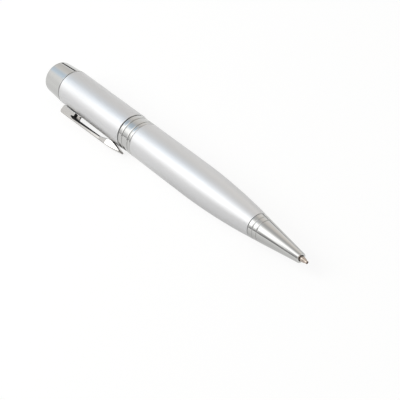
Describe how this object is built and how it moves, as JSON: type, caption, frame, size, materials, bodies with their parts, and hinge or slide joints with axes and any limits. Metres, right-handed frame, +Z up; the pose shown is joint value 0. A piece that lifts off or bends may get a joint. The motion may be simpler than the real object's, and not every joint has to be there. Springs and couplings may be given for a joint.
{
  "type": "flash drive pen",
  "caption": "Twist ballpoint pen with a sprung pocket clip, whose rear half pulls off at the centre ring to bare a flat plug and serve as a memory drive.",
  "frame": {"origin": "middle of the lying pen's box in length and width, on the surface it lies on", "axes": "+X along the pen from the flat rear cap to the writing ball, +Z up from the surface; the clip is on the -Y side, drooping to the surface"},
  "size_m": [0.1496, 0.0169, 0.0144],
  "materials": {
    "satin_silver_lacquer": "satin metallic lacquer on a drawn brass tube",
    "chrome_plate": "bright polished plate",
    "plated_shell": "bright nickel plated steel",
    "gold_contact": "gold flashed contact",
    "brass": "turned brass",
    "ball_carbide": "dark polished carbide, ink wetted",
    "black_plastic": "fine moulded",
    "ivory_acetal": "natural moulded",
    "board_laminate": "solder resist on glass laminate",
    "chip_epoxy": "matt moulded epoxy"
  },
  "bodies": {
    "writing_half": {"lower_barrel": "satin_silver_lacquer", "nose_cone": "chrome_plate", "guide_tube": "ivory_acetal"},
    "twist_ring": {"centre_ring": "chrome_plate", "plug_socket": "black_plastic", "cam_sleeve": "brass"},
    "refill": {"refill_carrier": "ivory_acetal", "follower_pin": "plated_shell", "refill_tube": "plated_shell", "refill_tip": "brass", "writing_ball": "ball_carbide"},
    "drive_half": {"upper_barrel": "satin_silver_lacquer", "rear_cap": "chrome_plate", "cap_bush": "brass", "carrier_tray": "black_plastic", "carrier_cover": "black_plastic", "circuit_board": "board_laminate", "memory_chip": "chip_epoxy", "controller_chip": "chip_epoxy", "crystal_can": "plated_shell", "usb_shell": "plated_shell", "usb_tongue": "black_plastic", "usb_contact_1": "gold_contact", "usb_contact_2": "gold_contact", "usb_contact_3": "gold_contact", "usb_contact_4": "gold_contact"},
    "clip": {"clip": "chrome_plate", "clip_rivet": "plated_shell"}
  },
  "joints": [
    {"name": "twist", "type": "hinge", "parent": "writing_half", "child": "twist_ring", "pos_m": [-0.01582, 0.00135, 0.00719], "axis": [-1, 0, 0], "range_deg": [0, 180]},
    {"name": "refill_slide", "type": "slide", "parent": "writing_half", "child": "refill", "axis": [-1, 0, 0], "range_m": [0, 0.005]},
    {"name": "drive_pull", "type": "slide", "parent": "twist_ring", "child": "drive_half", "axis": [-1, 0, 0], "range_m": [0, 0.025]},
    {"name": "clip_flex", "type": "hinge", "parent": "drive_half", "child": "clip", "pos_m": [-0.05763, -0.00477, 0.00339], "axis": [0, 0.5278, -0.8494], "range_deg": [0, 3.5], "stiffness_Nm_per_rad": 1}
  ],
  "couplings": [
    {"joint": "refill_slide", "follows": "twist", "m_per_rad": 0.0015915}
  ]
}
